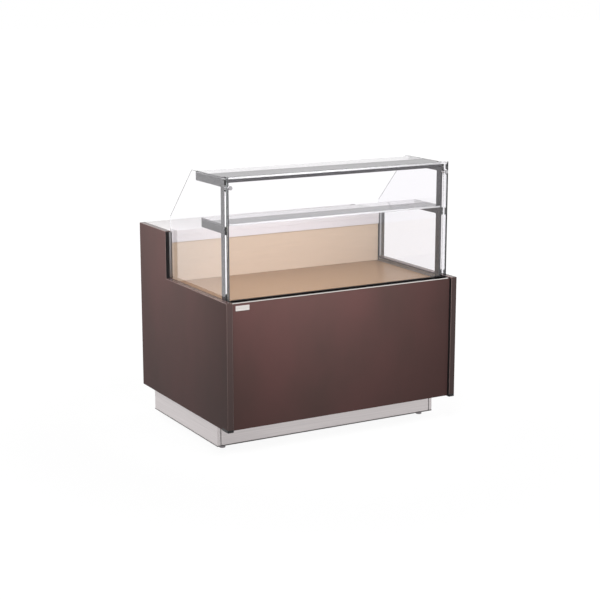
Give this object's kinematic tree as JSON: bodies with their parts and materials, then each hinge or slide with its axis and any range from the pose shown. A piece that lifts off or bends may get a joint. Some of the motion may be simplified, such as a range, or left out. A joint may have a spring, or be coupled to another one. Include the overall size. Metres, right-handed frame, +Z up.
{
  "type": "serve over counter",
  "caption": "Bakery serve over counter with brown panels, a tilting front glass, slanted side glass, glass shelves on slim posts, a rear worktop and storage.",
  "frame": {"origin": "on the floor, at the middle of the footprint", "axes": "+X to the customer's right, +Y from the customer's side to the staff's side, +Z up"},
  "size_m": [1.25, 0.96, 1.293],
  "materials": {
    "brown_laminate": "satin",
    "beige_laminate": "satin",
    "pale_laminate": "satin",
    "white_melamine": "matte",
    "grey_laminate": "satin",
    "clear_glass": "polished",
    "grey_aluminium": "satin anodised",
    "bright_aluminium": "bright anodised",
    "black_aluminium": "satin anodised",
    "black_plastic": "matte",
    "light_plastic": "satin",
    "opal_plastic": "satin",
    "polished_steel": "polished",
    "zinc_steel": "satin"
  },
  "bodies": {
    "cabinet": {"left_end_panel": "brown_laminate", "right_end_panel": "brown_laminate", "front_panel": "brown_laminate", "display_deck": "beige_laminate", "display_back_wall": "beige_laminate", "worktop": "pale_laminate", "worktop_apron": "pale_laminate", "base_floor": "white_melamine", "partition": "white_melamine", "storage_shelves": "white_melamine", "bag_shelf": "white_melamine", "worktop_support": "white_melamine", "cleats": "white_melamine", "foot_blocks": "white_melamine", "plinth_front": "grey_laminate", "plinth_rear": "grey_laminate", "plinth_sides": "grey_laminate", "left_side_glass": "clear_glass", "right_side_glass": "clear_glass", "lower_shelf_glass": "clear_glass", "upper_shelf_glass": "clear_glass", "left_post": "grey_aluminium", "right_post": "grey_aluminium", "shelf_brackets": "grey_aluminium", "light_rail": "grey_aluminium", "glazing_profiles": "grey_aluminium", "front_panel_trim": "bright_aluminium", "side_glass_sills": "bright_aluminium", "badge_plate": "bright_aluminium", "glass_channel": "black_aluminium", "panel_corner_caps": "black_plastic", "glass_hinge_blocks": "black_plastic", "slot_blocks": "black_plastic", "shelf_pads": "black_plastic", "switch_box": "black_plastic", "power_inlet": "black_plastic", "slot_cover_strips": "light_plastic", "light_diffuser": "opal_plastic", "light_strip": "opal_plastic", "glass_standoffs": "polished_steel", "post_base_plates": "zinc_steel", "post_fixings": "zinc_steel", "shelf_pins": "zinc_steel", "fixed_hinge_leaves": "zinc_steel"},
    "glass": {"front_glass": "clear_glass", "glass_shoe": "black_aluminium", "knob_bushes": "light_plastic"},
    "left_knob": {"left_glass_knob": "polished_steel"},
    "right_knob": {"right_glass_knob": "polished_steel"},
    "left_rear_door": {"left_door": "brown_laminate", "left_door_hinges": "zinc_steel", "left_door_pull": "bright_aluminium"},
    "right_rear_door": {"right_door": "brown_laminate", "right_door_hinges": "zinc_steel", "right_door_pull": "bright_aluminium"},
    "rocker": {"switch_rocker": "black_plastic"},
    "foot_front_left": {"front_left_foot": "zinc_steel"},
    "foot_front_right": {"front_right_foot": "zinc_steel"},
    "foot_rear_left": {"rear_left_foot": "zinc_steel"},
    "foot_rear_right": {"rear_right_foot": "zinc_steel"}
  },
  "joints": [
    {"name": "front_glass_tilt", "type": "hinge", "parent": "cabinet", "child": "glass", "pos_m": [0, -0.4346, 0.73], "axis": [1, 0, 0], "range_deg": [0, 35]},
    {"name": "left_knob_turn", "type": "hinge", "parent": "glass", "child": "left_knob", "pos_m": [-0.5793, -0.4383, 1.245], "axis": [0, -1, 0], "continuous": true},
    {"name": "right_knob_turn", "type": "hinge", "parent": "glass", "child": "right_knob", "pos_m": [0.5793, -0.4383, 1.245], "axis": [0, -1, 0], "continuous": true},
    {"name": "left_door_swing", "type": "hinge", "parent": "cabinet", "child": "left_rear_door", "pos_m": [-0.59, 0.4725, 0.4485], "axis": [0, 0, 1], "range_deg": [0, 110]},
    {"name": "right_door_swing", "type": "hinge", "parent": "cabinet", "child": "right_rear_door", "pos_m": [0.59, 0.4725, 0.4485], "axis": [0, 0, -1], "range_deg": [0, 110]},
    {"name": "light_switch_rock", "type": "hinge", "parent": "cabinet", "child": "rocker", "pos_m": [-0.5, 0.4645, 0.92], "axis": [1, 0, 0], "range_deg": [0, 16]},
    {"name": "front_left_foot_height", "type": "slide", "parent": "cabinet", "child": "foot_front_left", "axis": [0, 0, -1], "range_m": [0, 0.015]},
    {"name": "rear_left_foot_height", "type": "slide", "parent": "cabinet", "child": "foot_rear_left", "axis": [0, 0, -1], "range_m": [0, 0.015]},
    {"name": "front_right_foot_height", "type": "slide", "parent": "cabinet", "child": "foot_front_right", "axis": [0, 0, -1], "range_m": [0, 0.015]},
    {"name": "rear_right_foot_height", "type": "slide", "parent": "cabinet", "child": "foot_rear_right", "axis": [0, 0, -1], "range_m": [0, 0.015]}
  ]
}
